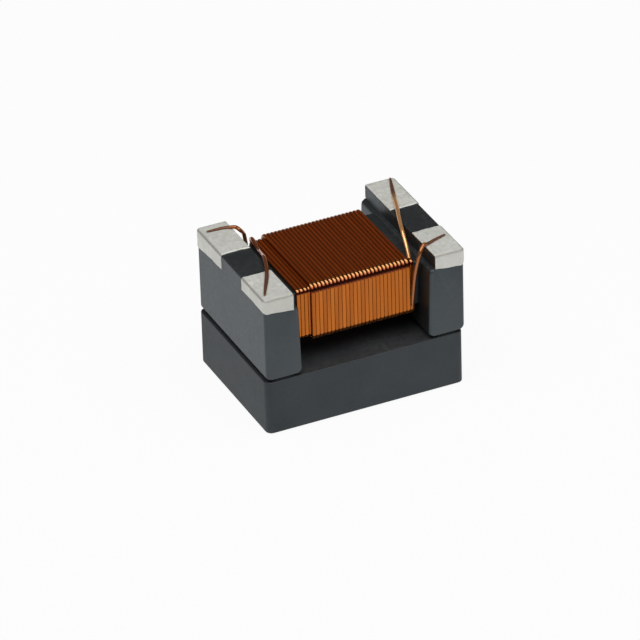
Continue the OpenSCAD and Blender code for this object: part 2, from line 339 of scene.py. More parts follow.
def carry(outline, normals, places, draw, give=1.0):
    """An outline carried straight along its axis, as rings: each is drawn in along the outline's normals.

    The draw of a ring is times give, which may change round the outline. The axis is the last coordinate.
    """
    flat = outline - (draw[:, None] * give)[..., None] * normals
    along = np.broadcast_to(places[:, None, None], flat.shape[:2] + (1,))
    return np.concatenate([flat, along], -1)


def grid_faces(rows, cols, closed):
    """Quads between neighbouring rows and columns of a grid, joined up round the columns if it is closed."""
    i = np.arange(rows - 1)[:, None] * cols
    j = np.arange(cols if closed else cols - 1)
    k = (j + 1) % cols
    return np.stack([i + j, i + k, i + cols + k, i + cols + j], -1).reshape(-1, 4)


def shell(rings):
    """A closed shell of rings: quads from ring to ring, and one flat face over the first and the last."""
    rows, cols = rings.shape[:2]
    first = np.arange(cols)[::-1]
    last = first[::-1] + (rows - 1) * cols
    faces = grid_faces(rows, cols, True).tolist() + [first.tolist(), last.tolist()]
    return faced_outwards(rings.reshape(-1, 3), faces)


def faced_outwards(points, faces):
    """Turns the faces of a closed shell round if its volume, summed over fans of triangles, is negative."""
    sizes = np.array([len(f) for f in faces])
    fans = [np.array([f for f in faces if len(f) == n]) for n in np.unique(sizes)]
    volume = 0.0
    for fan in fans:
        p = points[fan]
        volume += np.einsum("fi,fni->", p[:, 0], np.cross(p[:, 1:-1], p[:, 2:]))
    return points, faces if volume > 0 else [f[::-1] for f in faces]


def curve_through(points, steps):
    """Smooth curve through points: from b to c, with a before and d after, and t from 0 to 1, it is half of
    2b + (c - a) t + (2a - 5b + 4c - d) t^2 + (3b - a - 3c + d) t^3."""
    p = np.vstack([points[:1], points, points[-1:]])
    t = np.linspace(0, 1, steps, endpoint=False)[:, None]
    a, b, c, d = (p[i : len(p) - 3 + i, None] for i in range(4))
    q = 0.5 * (2 * b + (c - a) * t + (2 * a - 5 * b + 4 * c - d) * t**2 + (3 * b - a - 3 * c + d) * t**3)
    return np.vstack([q.reshape(-1, p.shape[1]), points[-1:]])


def tube(path, radius, sides=14):
    """A circle carried along a path of points, square to the path's heading, without twist.

    The sideways direction at each point is the one before it, less its share along the heading.
    """
    step = unit(np.diff(path, axis=0))
    heading = unit(np.vstack([step[:1], step[:-1] + step[1:], step[-1:]]))
    carried = accumulate(heading, lambda u, t: unit(u - (u @ t) * t), initial=UP)
    side = np.array(list(carried))[1:]
    other = np.cross(heading, side)
    a = np.linspace(0, 2 * np.pi, sides, endpoint=False)[:, None]
    return path[:, None] + radius[:, None, None] * (np.cos(a) * side[:, None] + np.sin(a) * other[:, None])


# Pieces


def put_mesh(name, shells, values=None):
    """One mesh object of closed shells given in millimetres, with point values kept as named attributes."""
    counts = np.cumsum([0] + [len(points) for points, _ in shells])
    points = np.concatenate([points for points, _ in shells]) * MM
    faces = [[i + base for i in face] for (_, fs), base in zip(shells, counts) for face in fs]
    mesh = bpy.data.meshes.new(name)
    mesh.from_pydata(points, [], faces)
    for key, value in (values or {}).items():
        mesh.attributes.new(key, "FLOAT", "POINT").data.foreach_set("value", np.asarray(value, np.float32))
    obj = bpy.data.objects.new(name, mesh)
    bpy.context.scene.collection.objects.link(obj)
    return obj


def finish_piece(obj, material, node):
    """Shades a piece smooth with true flats, gives it its material and puts it in its solid's place."""
    mesh = obj.data
    mesh.validate()
    mesh.shade_smooth()
    mesh.set_sharp_from_angle(angle=SHARP_ANGLE)
    mesh.materials.clear()
    mesh.materials.append(material)
    flats = obj.modifiers.new("True flats", "WEIGHTED_NORMAL")
    flats.keep_sharp = True
    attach(obj, "root")
    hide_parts(node)


def merged(obj, distance):
    """Joins points that lie together, so that sheets close along their shared edges."""
    bm = bmesh.new()
    bm.from_mesh(obj.data)
    bmesh.ops.remove_doubles(bm, verts=bm.verts, dist=distance * MM)
    bmesh.ops.dissolve_degenerate(bm, edges=bm.edges, dist=distance * MM)
    bm.to_mesh(obj.data)
    bm.free()


def united(obj, other):
    """Joins another closed shell to a piece as one solid, and removes the other."""
    union = obj.modifiers.new("Union", "BOOLEAN")
    union.operation = "UNION"
    union.solver = "EXACT"
    union.object = other
    solid = bpy.data.meshes.new_from_object(obj.evaluated_get(bpy.context.evaluated_depsgraph_get()))
    obj.modifiers.clear()
    obj.data = solid
    bpy.data.objects.remove(other)


def flange_shell(size, side):
    """A flange's profile of length and height carried across the drum, with round side edges."""
    low, high = DRUM[0, 2], DRUM[1, 2]
    shoulder = high - size.foot_h
    depth_height = np.array(
        [
            (0, low),
            (size.flange_t + size.flange_draft, low),
            (size.flange_t, shoulder),
            (size.foot_d, shoulder),
            (size.foot_d, high),
            (0, high),
        ]
    )
    base_r, fine_r = size.drum_base_r, size.fine_r
    radii = np.array([base_r, base_r, size.shoulder_r, fine_r, fine_r, size.foot_r])
    corners = depth_height * [-side, 1] + [side * DRUM[1, 0], 0]
    outline, normals = rounded_outline(corners[::-side], radii[::-side])
    places, draw = round_ended_run(DRUM[0, 1], DRUM[1, 1], size.drum_edge_r)
    steps = len(outline) // len(radii)
    give = np.repeat(np.minimum(1, radii[::-side] / size.drum_edge_r), steps)
    level = fine_r / size.drum_edge_r
    rings = carry(outline, normals, places, draw, give * (level + (1 - level) * np.abs(normals[:, 0])))
    return shell(rings[..., [0, 2, 1]])


def bar_shell(size):
    """The winding bar's section carried along the drum, into both flanges."""
    axis = DRUM[0, 2] + size.bar_z
    half = np.array([size.bar_w / 2, size.bar_h / 2])
    outline, normals = box_outline([0, axis] - half, [0, axis] + half, size.bar_r, 5)
    reach = DRUM[1, 0] - size.flange_t / 2
    rings = carry(outline, normals, np.array([-reach, reach]), np.zeros(2))
    return shell(rings[..., [2, 0, 1]])


def plate_shell(size):
    """The plate's outline carried up, with finely rounded rims."""
    outline, normals = box_outline(PLATE[0, :2], PLATE[1, :2], size.plate_edge_r)
    return shell(carry(outline, normals, *round_ended_run(PLATE[0, 2], PLATE[1, 2], size.plate_rim_r, 4)))


def glue_shell(size, node):
    """An adhesive film's outline carried up, with its edge drawn in between plate and flange as a sine."""
    low, high = box_mm(node)
    outline, normals = box_outline(low[:2], high[:2], size.film_edge_r)
    t = np.linspace(0, 1, 7)
    return shell(carry(outline, normals, low[2] + (high[2] - low[2]) * t, size.film_draw * np.sin(np.pi * t)))


def crowded(count, low, high, at_low, at_high):
    """Places from low to high that crowd at either end, as half a cosine wave where asked."""
    t = np.linspace(0, 1, count)
    if at_low and at_high:
        t = (1 - np.cos(np.pi * t)) / 2
    elif at_low:
        t = 1 - np.cos(np.pi / 2 * t)
    elif at_high:
        t = np.sin(np.pi / 2 * t)
    return low + (high - low) * t


def terminal_shell(size, node):
    """Baked metal over a foot's corner, on the foot's end, side and top.

    A line in plan runs along the end face, round the upright edge and along the side face. From each of its
    points the skin runs up the wall, over the top edge as a quarter round, and across the top to the
    terminal's inner corner. The paste's lower and inner edges wander by two sines of the run along them. Its
    thickness at the distance d from its edge is T sqrt(1 - (1 - d / lip)^2), so the edge is a soft lip. The
    skin's two lower corners are cut off at their last cell, so that no flap is left there. The paste is marked
    as thin over the top edge, by the square of the sine of twice the angle there; the same mark paints a shade
    there that dims the edge's highlight.
    """
    sx, sy = TERMINALS[node]
    width = BODY_HALF[1] - np.abs(box_mm(node)[:, 1]).min() - TERMINAL_T
    r, r_top = size.drum_edge_r, size.foot_r
    turn = np.linspace(0, np.pi / 2, 11)
    end_line = crowded(34, width, r, True, False)[:-1]
    side_line = crowded(26, r, size.foot_d, False, True)[1:]
    e = np.concatenate([0 * end_line, r * (1 - np.cos(turn)), side_line])
    w = np.concatenate([end_line, r * (1 - np.sin(turn)), 0 * side_line])
    ne = np.concatenate([1 + 0 * end_line, np.cos(turn), 0 * side_line])
    nw = np.sqrt(1 - ne**2)
    phase = 1.7 * sx + 2.9 * sy
    run = np.cumsum(np.hypot(np.diff(e, prepend=e[0]), np.diff(w, prepend=w[0])))
    side_h = size.side_band_h - sx * size.lean * (e / size.foot_d - 0.5)
    end_h = size.back_band_h - size.back_lean * w / width if sy > 0 else size.front_band_h
    band = side_h + (end_h - side_h) * ne**2
    band = band + size.wave * (np.sin(9 * run + phase) + 0.6 * np.sin(23 * run - 2 * phase))

    wall = crowded(18, 0, 1, True, False)[:-1, None]
    over = np.linspace(0, np.pi / 2, 9)[:-1, None]
    top = crowded(26, 0, 1, False, True)[:, None]
    h_rows = [-band + (band - r_top) * wall, r_top * (np.sin(over) - 1) + 0 * e, 0 * e + 0 * top]
    in_rows = [0 * e + 0 * wall, r_top * (1 - np.cos(over)) + 0 * e, r_top + 0 * e + 0 * top]
    up_rows = [0 * e + 0 * wall, np.sin(over) + 0 * e, 1 + 0 * e + 0 * top]
    go_rows = [0 * e + 0 * wall, 0 * e + 0 * over, 0 * e + top]
    h, inward, up, go = (np.concatenate(rows) for rows in (h_rows, in_rows, up_rows, go_rows))
    e, w = e + inward * ne, w + inward * nw
    e, w = e + (size.foot_d - e) * go, w + (width - w) * go
    lip = np.minimum(np.minimum(width - w, size.foot_d - e), h + band)
    rise = np.sqrt(np.clip(1 - (1 - np.clip(lip / size.lip_w, 0, 1)) ** 2, 0, 1))
    w = w + size.wave * (w / width) ** 6 * (np.sin(14 * e + phase) + 0.7 * np.sin(31 * (e + h) + phase))

    level = np.sqrt(1 - up**2)
    outward = np.stack([sx * level * ne, sy * level * nw, up], -1)
    base = np.stack([sx * (DRUM[1, 0] - e), sy * (DRUM[1, 1] - w), DRUM[1, 2] + h], -1)
    outer = base + outward * (TERMINAL_T * rise)[..., None]
    inner = base - outward * (size.bedding * TERMINAL_T * rise)[..., None]
    for sheet in (outer, inner):
        sheet[0, [0, -1]] = sheet[0, [1, -2]]
    faces = grid_faces(*e.shape, False)
    points = np.concatenate([outer.reshape(-1, 3), inner.reshape(-1, 3)])
    faces = faces.tolist() + (faces[:, ::-1] + e.size).tolist()
    # Mark for the top edges' darker colour: thin paste, also painted shade
    thin = 4 * up**2 * level**2
    return faced_outwards(points, faces), {"thin": np.tile(thin.ravel(), 2)}


def winding_lay(size):
    """Where the turns of both layers lie: the upper wire rests in the grooves of the lower one."""
    lay = SimpleNamespace(wire_r=size.wire_d / 2, axis_z=DRUM[0, 2] + size.bar_z)
    pitch = size.wire_d + size.turn_gap
    window = DRUM[1, 0] - size.flange_t
    lay.lower_lift = lay.wire_r + size.lay_gap
    lay.upper_lift = lay.lower_lift + np.sqrt(size.wire_d**2 - pitch**2 / 4) + size.lay_gap
    lay.cross_lift = lay.lower_lift + size.wire_d + 2 * size.lay_gap
    first = -window + size.start_gap + lay.wire_r
    turns = int((window - size.end_gap - lay.wire_r - first) / pitch + 1e-6)
    lay.lower_x = first + pitch * np.arange(turns + 1)
    lay.upper_x = lay.lower_x[size.bare_turns : -1] + pitch / 2
    lay.cross_x = -window + size.lead_gap + lay.wire_r
    lay.top_z = lay.axis_z + size.bar_h / 2 + lay.upper_lift
    return lay


def wound_layer(size, lay, xs, lift, corners_left_out, steps=9):
    """Turns about the bar, down the back, under, up the front and over: a quarter circle at each edge.

    A bend has one more point on the straight before it and after it, so that straight strands are shaded
    straight. The wire steps to the next turn under the bar. Columns are x, y, z, the height left by pressing,
    and the sine of the place in a bend.
    """
    corner = np.arange(4)
    turned = np.concatenate([[0], np.linspace(0, 1, steps - 2), [1]])
    angle = -np.pi / 2 * (corner[:, None] + turned)
    on = np.array([-1] + [0] * (steps - 2) + [1]) * lay.wire_r
    y0 = np.array([1, -1, -1, 1]) * (size.bar_w / 2 - size.bar_r)
    z0 = lay.axis_z + np.array([-1, -1, 1, 1]) * (size.bar_h / 2 - size.bar_r)
    r = size.bar_r + lift
    y = y0[:, None] + r * np.cos(angle) + on * np.sin(angle)
    z = z0[:, None] + r * np.sin(angle) - on * np.cos(angle)
    x = np.stack([xs[:-1], xs[1:], xs[1:], xs[1:]], 1)[..., None]
    full = np.stack(np.broadcast_arrays(x, y, z, 1.0, np.sin(np.pi * turned)), -1).reshape(-1, 5)
    return full[: len(full) - corners_left_out * steps]


def lead_routes(size, lay):
    """Points of the four leads, given one by one, each from its tip on a terminal to the winding."""
    bond = size.bond_flat
    edge = size.foot_d + TERMINAL_T
    first, cross, last_lower, last_upper = lay.lower_x[0], lay.cross_x, lay.lower_x[-1], lay.upper_x[-1]
    top, quarter = lay.top_z, size.bar_h / 4
    over = (size.bar_r + lay.cross_lift) * np.sqrt(0.5) - size.bar_r

    def half(lift):
        return size.bar_w / 2 + lift

    def pad(sx, sy, from_end, from_side, up, flat):
        return sx * (BODY_HALF[0] - from_end), sy * (BODY_HALF[1] - from_side), PAD_Z + lay.wire_r + up, flat

    def beside(x, sy, out, z):
        return x, sy * (half(lay.upper_lift) + out), z, 1

    return {
        "back_left": [
            pad(-1, 1, 0.09, 0.21, 0, bond),
            pad(-1, 1, 0.25, 0.215, 0, bond),
            pad(-1, 1, 0.39, 0.23, 0, bond),
            pad(-1, 1, edge + 0.025, 0.31, 0, 1),
            pad(-1, 1, edge + 0.065, 0.385, -0.02, 1),
            beside(first - 0.036, 1, 0, top + 0.09),
            beside(first - 0.015, 1, 0, top + 0.01),
            (first - 0.005, half(lay.lower_lift + 0.003), lay.axis_z + quarter, 1),
        ],
        "front_left": [
            pad(-1, -1, 0.085, 0.14, 0, bond),
            pad(-1, -1, 0.15, 0.265, 0, bond),
            pad(-1, -1, 0.33, 0.6, 0, bond),
            pad(-1, -1, 0.435, 0.84, 0, 1),
            pad(-1, -1, edge + 0.04, 1.12, -0.008, 1),
            (cross - 0.06, size.bar_w / 4, top + 0.03, 1),
            (cross, half(0) - 0.06, top + 0.015, 1),
            (cross + 0.02, half(over), lay.axis_z + size.bar_h / 2 + over, 1),
            (cross + 0.04, half(lay.cross_lift), top - 0.09, 1),
            (lay.upper_x[0] - 0.02, half(lay.cross_lift), lay.axis_z + quarter / 2, 1),
        ],
        "back_right": [
            pad(1, 1, 0.085, 0.05, 0, bond),
            pad(1, 1, 0.23, 0.45, 0, bond),
            pad(1, 1, 0.37, 0.86, 0, 1),
            pad(1, 1, edge + 0.066, 1.37, -0.008, 1),
            (last_lower + 0.05, -size.bar_w / 2 + 0.22, top + 0.025, 1),
        ],
        "front_right": [
            pad(1, -1, 0.09, 0.48, 0, bond),
            pad(1, -1, 0.28, 0.42, 0, bond),
            pad(1, -1, 0.43, 0.36, 0, bond),
            pad(1, -1, edge + 0.03, 0.335, 0, 1),
            beside(last_upper + 0.12, -1, 0.06, PAD_Z - 0.045),
            beside(last_upper + 0.06, -1, 0.065, top - 0.05),
            beside(last_upper + 0.025, -1, 0.05, lay.axis_z + quarter),
            beside(last_upper, -1, 0.02, lay.axis_z - quarter),
        ],
    }


def wire_path(start_lead, turns, end_lead, steps=8):
    """A lead, the turns and a lead as one path, each lead a smooth curve that runs into the turns.

    A last column is 1 on the turns, which are bonded to one another, and 0 on the leads.
    """
    start = curve_through(np.vstack([np.pad(start_lead, ((0, 0), (0, 1))), turns[:1]]), steps)[:-1]
    end = curve_through(np.vstack([np.pad(end_lead, ((0, 0), (0, 1))), turns[-1:]]), steps)[:-1]
    path = np.vstack([start, turns, end[::-1]])
    row = np.arange(len(path))
    return np.column_stack([path, (row >= len(start)) & (row < len(path) - len(end))])


def wire_shell(size, lay, path, top, bright):
    """A round wire along a path, pressed down where it is bonded on a terminal and drawn thin at its tips.

    No point of it rises over the given top. Near a tip its thickness grows as the root of the distance. The
    tone of the turns is a half plus two slow sines of the run, and the right lead is painted as bright as
    given, a painted highlight; the left lead is not.
    """
    run = np.concatenate([[0], np.cumsum(np.linalg.norm(np.diff(path[:, :3], axis=0), axis=1))])
    from_tip = np.minimum(run, run[-1] - run)
    taper = np.clip(from_tip / size.tip_run, 0, 1)
    radius = lay.wire_r * (size.tip_share + (1 - size.tip_share) * np.sqrt(taper))
    turn_tone = 0.5 + 0.2 * np.sin(2.1 * run) + 0.15 * np.sin(0.83 * run + 1)
    # Painted highlight: the right lead is painted paler by the given share; the left lead keeps none
    lead_highlight_share = bright * (path[:, 0] > 0)
    rings = tube(path[:, :3], radius)
    rings[..., 2] = np.minimum(PAD_Z + (rings[..., 2] - PAD_Z) * np.minimum(path[:, 3:4], 1), top)
    values = {
        "tone": np.where(path[:, 5] > 0, turn_tone, lead_highlight_share),
        "pressed": np.clip((1 - path[:, 3]) / (1 - size.bond_flat), 0, 1),
        "bend": path[:, 4],
        "bonded": path[:, 5],
    }
    return shell(rings), {key: np.repeat(value, rings.shape[1]) for key, value in values.items()}


# Finishes


def add(tree, kind, inputs=None, **settings):
    """A new node, its settings set and its inputs linked to sockets or set to values."""
    node = tree.nodes.new(kind)
    for key, value in settings.items():
        setattr(node, key, value)
    for key, value in (inputs or {}).items():
        if isinstance(value, bpy.types.NodeSocket):
            tree.links.new(value, node.inputs[key])
        else:
            node.inputs[key].default_value = value
    return node


def mixed(tree, factor, a, b, blend="MIX"):
    """A colour between two others, or a blend of both."""
    inputs = {0: factor, 6: a, 7: b}
    return add(tree, "ShaderNodeMix", inputs, data_type="RGBA", blend_type=blend).outputs[2]


def maths(tree, operation, a, b):
    """One step of arithmetic on two values."""
    return add(tree, "ShaderNodeMath", {0: a, 1: b}, operation=operation).outputs[0]


def ramp(tree, value, low, high):
    """A mask that goes from 0 to 1 as a value goes from low to high."""
    inputs = {"Value": value, "From Min": low, "From Max": high}
    return add(tree, "ShaderNodeMapRange", inputs).outputs["Result"]


def spread(tree, value, low, high):
    """A value from 0 to 1 spread over a range."""
    inputs = {"Value": value, "To Min": low, "To Max": high}
    return add(tree, "ShaderNodeMapRange", inputs).outputs["Result"]


def noise(tree, place, scale, detail, roughness=0.5, distortion=0.0):
    """Noise at a place, with so many cells to a metre."""
    inputs = {"Vector": place, "Scale": scale, "Detail": detail}
    inputs.update({"Roughness": roughness, "Distortion": distortion})
    return add(tree, "ShaderNodeTexNoise", inputs).outputs["Fac"]


def opaque(rgb):
    """A colour with full cover."""
    return (*rgb, 1.0)


def new_group(name, inputs, outputs):
    """An empty node group with the given sockets, plain values apart from a place or a normal."""
    group = bpy.data.node_groups.new(name, "ShaderNodeTree")
    for in_out, sockets in (("INPUT", inputs), ("OUTPUT", outputs)):
        for socket in sockets:
            kind = "NodeSocketVector" if socket in ("Place", "Normal") else "NodeSocketFloat"
            group.interface.new_socket(socket, in_out=in_out, socket_type=kind)
    return group


def grain_group():
    """Fine grain and broad patches of a sintered or baked surface, from a place on the piece.

    Grain and Patch are noise with its contrast raised. Height is the grain's pits plus the patches.
    """
    name = "sintered_grain"
    if name in bpy.data.node_groups:
        return bpy.data.node_groups[name]
    group = new_group(name, ("Place", "Grain Scale", "Patch Scale"), ("Grain", "Patch", "Height"))
    given = add(group, "NodeGroupInput").outputs
    fine = noise(group, given["Place"], given["Grain Scale"], 5.0, 0.65)
    broad = noise(group, given["Place"], given["Patch Scale"], 3.0, 0.55, 0.4)
    grain = ramp(group, fine, 0.3, 0.7)
    patch = ramp(group, broad, 0.32, 0.68)
    pits = ramp(group, fine, 0.25, 0.45)
    height = maths(group, "ADD", pits, patch)
    add(group, "NodeGroupOutput", {"Grain": grain, "Patch": patch, "Height": height})
    return group


def new_material(name):
    """An empty node material with its shader, output and the piece's own coordinates."""
    material = bpy.data.materials.new(name)
    material.use_nodes = True
    tree = material.node_tree
    tree.nodes.clear()
    shader = add(tree, "ShaderNodeBsdfPrincipled")
    add(tree, "ShaderNodeOutputMaterial", {"Surface": shader.outputs["BSDF"]})
    return material, tree, shader, add(tree, "ShaderNodeTexCoord").outputs["Object"]


def link(tree, shader, **sockets):
    """Links sockets to a shader's inputs, whose names have a space for each underscore."""
    for key, socket in sockets.items():
        tree.links.new(socket, shader.inputs[key.replace("_", " ")])


def grained(name, dark, pale, grain_scale, patch_scale, rough, relief):
    """A material with grain and patches in its colour, its roughness and its relief.

    The share of its pale colour is the grain times the patch, plus a quarter.
    """
    material, tree, shader, place = new_material(name)
    scales = {"Place": place, "Grain Scale": grain_scale, "Patch Scale": patch_scale}
    grain = add(tree, "ShaderNodeGroup", scales, node_tree=grain_group()).outputs
    parts = {0: grain["Grain"], 1: grain["Patch"], 2: 0.25}
    pale_share = add(tree, "ShaderNodeMath", parts, operation="MULTIPLY_ADD").outputs[0]
    bump = add(tree, "ShaderNodeBump", {"Height": grain["Height"], "Strength": 0.5, "Distance": relief})
    link(
        tree,
        shader,
        Base_Color=mixed(tree, pale_share, opaque(dark), opaque(pale)),
        Roughness=spread(tree, grain["Grain"], *rough),
        Normal=bump.outputs["Normal"],
    )
    return material, shader


def ferrite(look, name, dark, pale, rough, index):
    """Pressed and sintered ferrite: dark, a little glossy, with fine grain and faint cloudy patches."""
    scales = look.ferrite_grain, look.ferrite_patch
    material, shader = grained(name, dark, pale, *scales, rough, look.ferrite_relief)
    shader.inputs["IOR"].default_value = index
    shader.inputs["Specular Tint"].default_value = opaque(look.ferrite_tint)
    return material


def baked_silver(look):
    """Baked silver paste: pale, dull, slightly porous, and darker on the top edges, where it is thin and a
    shade is painted against their highlight.
    """
    tones = look.silver_dull, look.silver_pale
    scales = look.silver_grain, look.silver_patch
    material, shader = grained("baked_silver", *tones, *scales, look.silver_rough, look.silver_relief)
    tree = material.node_tree
    thick = shader.inputs["Base Color"].links[0].from_socket
    # The top edges are darker: thin paste, also painted shade against their highlight
    thin = add(tree, "ShaderNodeAttribute", attribute_name="thin").outputs["Fac"]
    link(tree, shader, Base_Color=mixed(tree, thin, thick, opaque(look.silver_thin)))
    shader.inputs["Metallic"].default_value = look.silver_metal
    return material


def bond_and_groove_shade_group():
    """The bond that fills the grooves between neighbouring turns, from the normal, and painted groove shade.

    The normal's part along X, n, becomes n (1 - fill (1 - n^8)). The fill goes from its value on top to its
    value on the sides as y^2 / (y^2 + z^2) of the normal goes from 0 to 1. The groove mask, for a painted
    shade in the grooves, is n^4 on top, and fades on the sides.
    """
    name = "bond_between_turns"
    if name in bpy.data.node_groups:
        return bpy.data.node_groups[name]
    group = new_group(name, ("Normal", "Bonded", "Fill Top", "Fill Side"), ("Normal", "GrooveShade"))
    given = add(group, "NodeGroupInput").outputs
    normal, bonded = given["Normal"], given["Bonded"]
    squares = add(group, "ShaderNodeVectorMath", {0: normal, 1: normal}, operation="MULTIPLY")
    squares = add(group, "ShaderNodeSeparateXYZ", {"Vector": squares.outputs[0]}).outputs
    fourth = maths(group, "MULTIPLY", squares["X"], squares["X"])
    eighth = maths(group, "MULTIPLY", fourth, fourth)
    beside = maths(group, "DIVIDE", squares["Y"], maths(group, "ADD", squares["Y"], squares["Z"]))
    fill = spread(group, beside, given["Fill Top"], given["Fill Side"])
    open_part = maths(group, "SUBTRACT", 1.0, maths(group, "MULTIPLY", fill, bonded))
    kept = spread(group, eighth, open_part, 1.0)
    kept = add(group, "ShaderNodeCombineXYZ", {"X": kept, "Y": 1.0, "Z": 1.0})
    bent = add(group, "ShaderNodeVectorMath", {0: normal, 1: kept.outputs[0]}, operation="MULTIPLY")
    bent = add(group, "ShaderNodeVectorMath", {0: bent.outputs[0]}, operation="NORMALIZE")
    on_top = maths(group, "MULTIPLY", bonded, maths(group, "SUBTRACT", 1.0, beside))
    # Mask of painted shade in the grooves between the turns on top
    groove_shade = maths(group, "MULTIPLY", fourth, on_top)
    add(group, "NodeGroupOutput", {"Normal": bent.outputs[0], "GrooveShade": groove_shade})
    return group


def enamelled_copper(look):
    """Copper under amber enamel, each stretch of wire a little deeper or paler.

    Painted light: the top is tinted deeper and the sides duller by which way they face, the bends are paler
    where they face up as a painted highlight, a painted shade lies below the bends and in the grooves between
    the turns on top, and the right leads are painted paler as a highlight. The enamel is burnt off where a
    lead is bonded down.
    """
    material, tree, shader, place = new_material("enamelled_copper")
    marks = ("tone", "bonded", "pressed", "bend")
    tone, bonded, pressed, bend = (
        add(tree, "ShaderNodeAttribute", attribute_name=mark).outputs["Fac"] for mark in marks
    )
    streak = noise(tree, place, look.wire_streak, 3.0)
    normal = add(tree, "ShaderNodeNewGeometry").outputs["Normal"]
    bond = add(
        tree,
        "ShaderNodeGroup",
        {"Normal": normal, "Bonded": bonded, "Fill Top": look.bridge_top, "Fill Side": look.bridge},
        node_tree=bond_and_groove_shade_group(),
    ).outputs
    height = add(tree, "ShaderNodeSeparateXYZ", {"Vector": normal}).outputs["Z"]
    upward = ramp(tree, height, 0.55, 0.85)
    rising = ramp(tree, height, 0.03, 0.2)
    in_bend = maths(tree, "MULTIPLY", ramp(tree, bend, 0.0, 0.3), rising)
    # Painted shade: a dark band on the bends just below where they face up
    below = maths(tree, "MULTIPLY", in_bend, maths(tree, "SUBTRACT", 1.0, upward))
    burnt = ramp(tree, pressed, 0.4, 1.0)

    wound = mixed(tree, tone, opaque(look.copper_deep), opaque(look.copper_pale))
    # Painted light: the top is tinted deeper and the sides duller, by which way the surface faces
    over = mixed(tree, upward, opaque(look.enamel_side_shade), opaque(look.enamel))
    wound = mixed(tree, 1.0, wound, over, "MULTIPLY")
    # Painted highlight: paler copper where the bends face up
    wound = mixed(tree, maths(tree, "MULTIPLY", bend, upward), wound, opaque(look.copper_bend))
    wound = mixed(tree, below, wound, opaque(look.copper_shade))
    # Painted shade in the grooves between the turns on top
    dark = maths(tree, "MULTIPLY", bond["GrooveShade"], look.groove_shade)
    wound = mixed(tree, dark, wound, opaque(look.copper_groove))
    # The right leads are painted paler by their share: a painted highlight
    lead = mixed(tree, tone, opaque(look.lead_deep), opaque(look.lead_highlight))
    wire = mixed(tree, bonded, lead, wound)
    rough = spread(tree, streak, *look.wire_rough)
    link(
        tree,
        shader,
        Base_Color=mixed(tree, burnt, wire, opaque(look.copper_burnt)),
        Roughness=maths(tree, "ADD", rough, spread(tree, burnt, 0.0, look.burnt_rough)),
        Metallic=spread(tree, bonded, *look.wire_metal),
        Coat_Weight=spread(tree, burnt, look.coat, 0.0),
        Normal=bond["Normal"],
    )
    shader.inputs["Coat Roughness"].default_value = look.coat_rough
    shader.inputs["Coat IOR"].default_value = look.coat_index
    return material


def adhesive_film(look):
    """Cured black adhesive with a slight gloss."""
    material, tree, shader, place = new_material("adhesive")
    cloud = noise(tree, place, look.adhesive_cloud, 2.0)
    link(
        tree,
        shader,
        Base_Color=mixed(tree, cloud, opaque(look.adhesive), opaque(look.adhesive_pale)),
        Roughness=spread(tree, cloud, *look.adhesive_rough),
    )
    return material


def floor_finish(stage):
    """White floor: most of what is seen of it is plain white, so that its shadow stays faint."""
    material, tree, shader, _ = new_material("floor")
    shader.inputs["Base Color"].default_value = opaque(stage.floor)
    shader.inputs["Roughness"].default_value = 0.9
    shader.inputs["Specular IOR Level"].default_value = 0.0
    path = add(tree, "ShaderNodeLightPath").outputs
    seen = maths(tree, "MAXIMUM", path["Is Camera Ray"], path["Is Glossy Ray"])
    seen = maths(tree, "MAXIMUM", seen, path["Is Transmission Ray"])
    part = maths(tree, "MULTIPLY", seen, stage.floor_white)
    white = add(tree, "ShaderNodeEmission", {"Color": (1, 1, 1, 1), "Strength": 1.0})
    both = add(tree, "ShaderNodeMixShader", {0: part, 1: shader.outputs[0], 2: white.outputs[0]})
    tree.links.new(both.outputs[0], tree.nodes["Material Output"].inputs["Surface"])
    return material


# Operators


class CHOKE_OT_drum_core(bpy.types.Operator):
    """Makes the ferrite drum: two footed flanges and the winding bar as one solid."""

    bl_idname = "choke.drum_core"
    bl_label = "Drum Core"

    def execute(self, context):
        size, look = in_mm(context.scene.choke_core), context.scene.choke_finishes
        drum = put_mesh("drum", [flange_shell(size, -1), flange_shell(size, 1)])
        united(drum, put_mesh("bar", [bar_shell(size)]))
        tones = look.drum_dark, look.drum_pale
        material = ferrite(look, "drum_ferrite", *tones, look.drum_rough, look.drum_index)
        finish_piece(drum, material, "drum_core")
        return {"FINISHED"}


class CHOKE_OT_cover_plate(bpy.types.Operator):
    """Makes the ferrite plate under the drum."""

    bl_idname = "choke.cover_plate"
    bl_label = "Cover Plate"

    def execute(self, context):
        size, look = in_mm(context.scene.choke_core), context.scene.choke_finishes
        plate = put_mesh("plate", [plate_shell(size)])
        tones = look.plate_dark, look.plate_pale
        material = ferrite(look, "plate_ferrite", *tones, look.plate_rough, look.plate_index)
        finish_piece(plate, material, "cover_plate")
        return {"FINISHED"}


class CHOKE_OT_glue_films(bpy.types.Operator):
    """Makes the adhesive films between the flanges and the plate."""

    bl_idname = "choke.glue_films"
    bl_label = "Glue Films"

    def execute(self, context):
        size = in_mm(context.scene.choke_core)
        material = adhesive_film(context.scene.choke_finishes)
        for node in ("glue_left", "glue_right"):
            film = put_mesh(node.replace("glue", "film"), [glue_shell(size, node)])
            finish_piece(film, material, node)
        return {"FINISHED"}


class CHOKE_OT_terminals(bpy.types.Operator):
    """Makes the four baked silver terminals on the feet."""

    bl_idname = "choke.terminals"
    bl_label = "Terminals"

    def execute(self, context):
        size = in_mm(context.scene.choke_core, context.scene.choke_terminals)
        material = baked_silver(context.scene.choke_finishes)
        for node in TERMINALS:
            metal, values = terminal_shell(size, node)
            skin = put_mesh(node.replace("terminal", "silver"), [metal], values)
            merged(skin, WELD_MM)
            finish_piece(skin, material, node)
        return {"FINISHED"}


